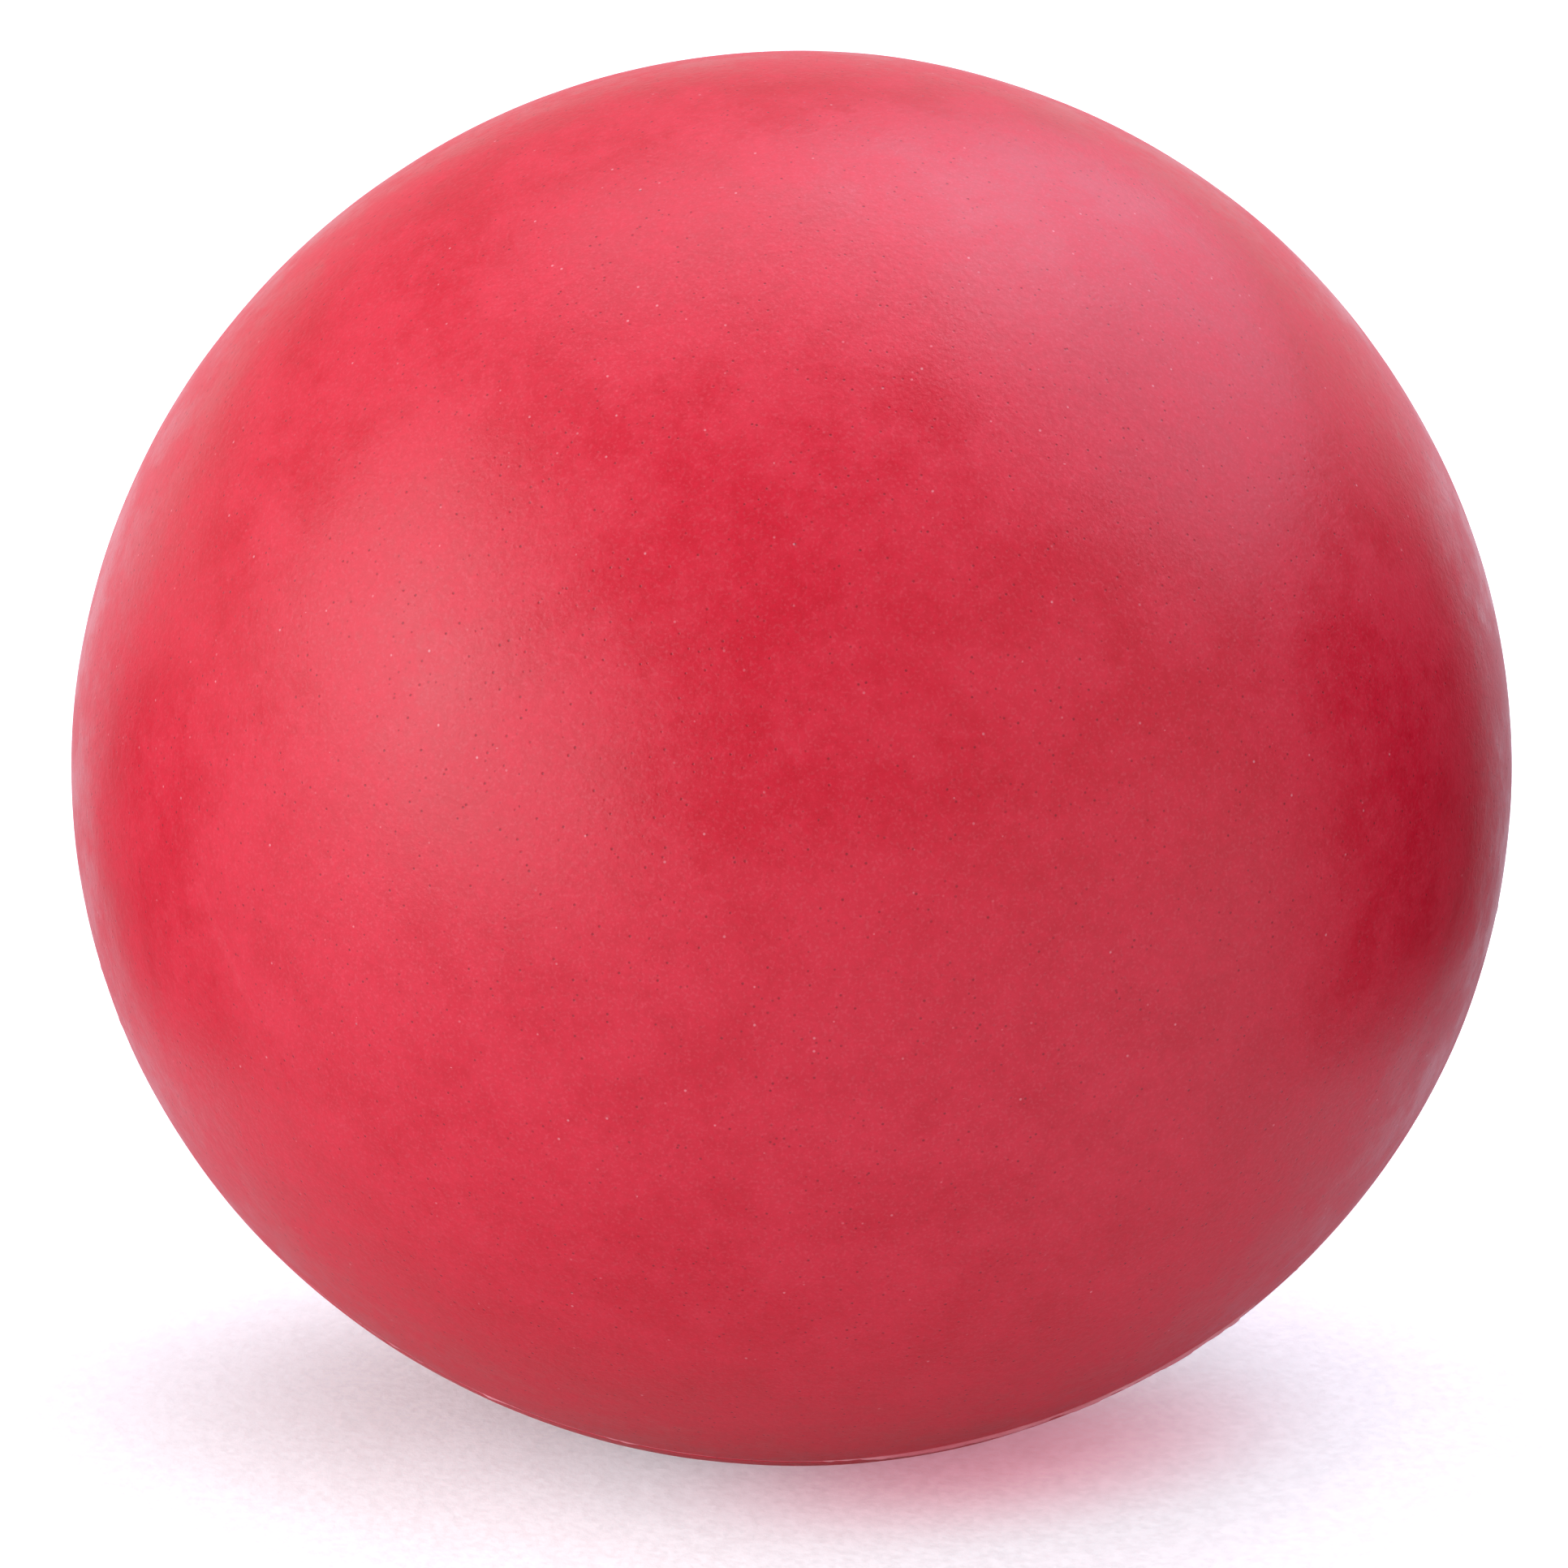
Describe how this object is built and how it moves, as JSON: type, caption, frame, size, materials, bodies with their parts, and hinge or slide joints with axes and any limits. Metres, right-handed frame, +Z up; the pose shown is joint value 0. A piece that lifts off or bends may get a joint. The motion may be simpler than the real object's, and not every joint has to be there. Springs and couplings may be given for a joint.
{
  "type": "rubber ball",
  "caption": "Plain hollow rubber ball of moulded half shells cemented at a stepped seam, with a self-sealing inflation plug inside.",
  "frame": {"origin": "centre of the ball", "axes": "+Z up as the ball sits in the picture, -Y towards the viewer; the moulding axis lies in the YZ plane, with the front pole towards -Y and raised by 32 degrees"},
  "size_m": [0.0634, 0.0634, 0.0622],
  "materials": {
    "red_rubber": "satin moulded red rubber",
    "rubber_cement": "cured rubber cement, paler than the shells",
    "gum_rubber": "soft matt gum rubber",
    "sealing_rubber": "smooth dried rubber solution"
  },
  "bodies": {
    "root": {"front_half_shell": "red_rubber", "rear_half_shell": "red_rubber", "seam_cement": "rubber_cement", "sealing_plug": "gum_rubber", "plug_cement": "rubber_cement", "needle_hole_seal": "sealing_rubber"}
  },
  "joints": []
}
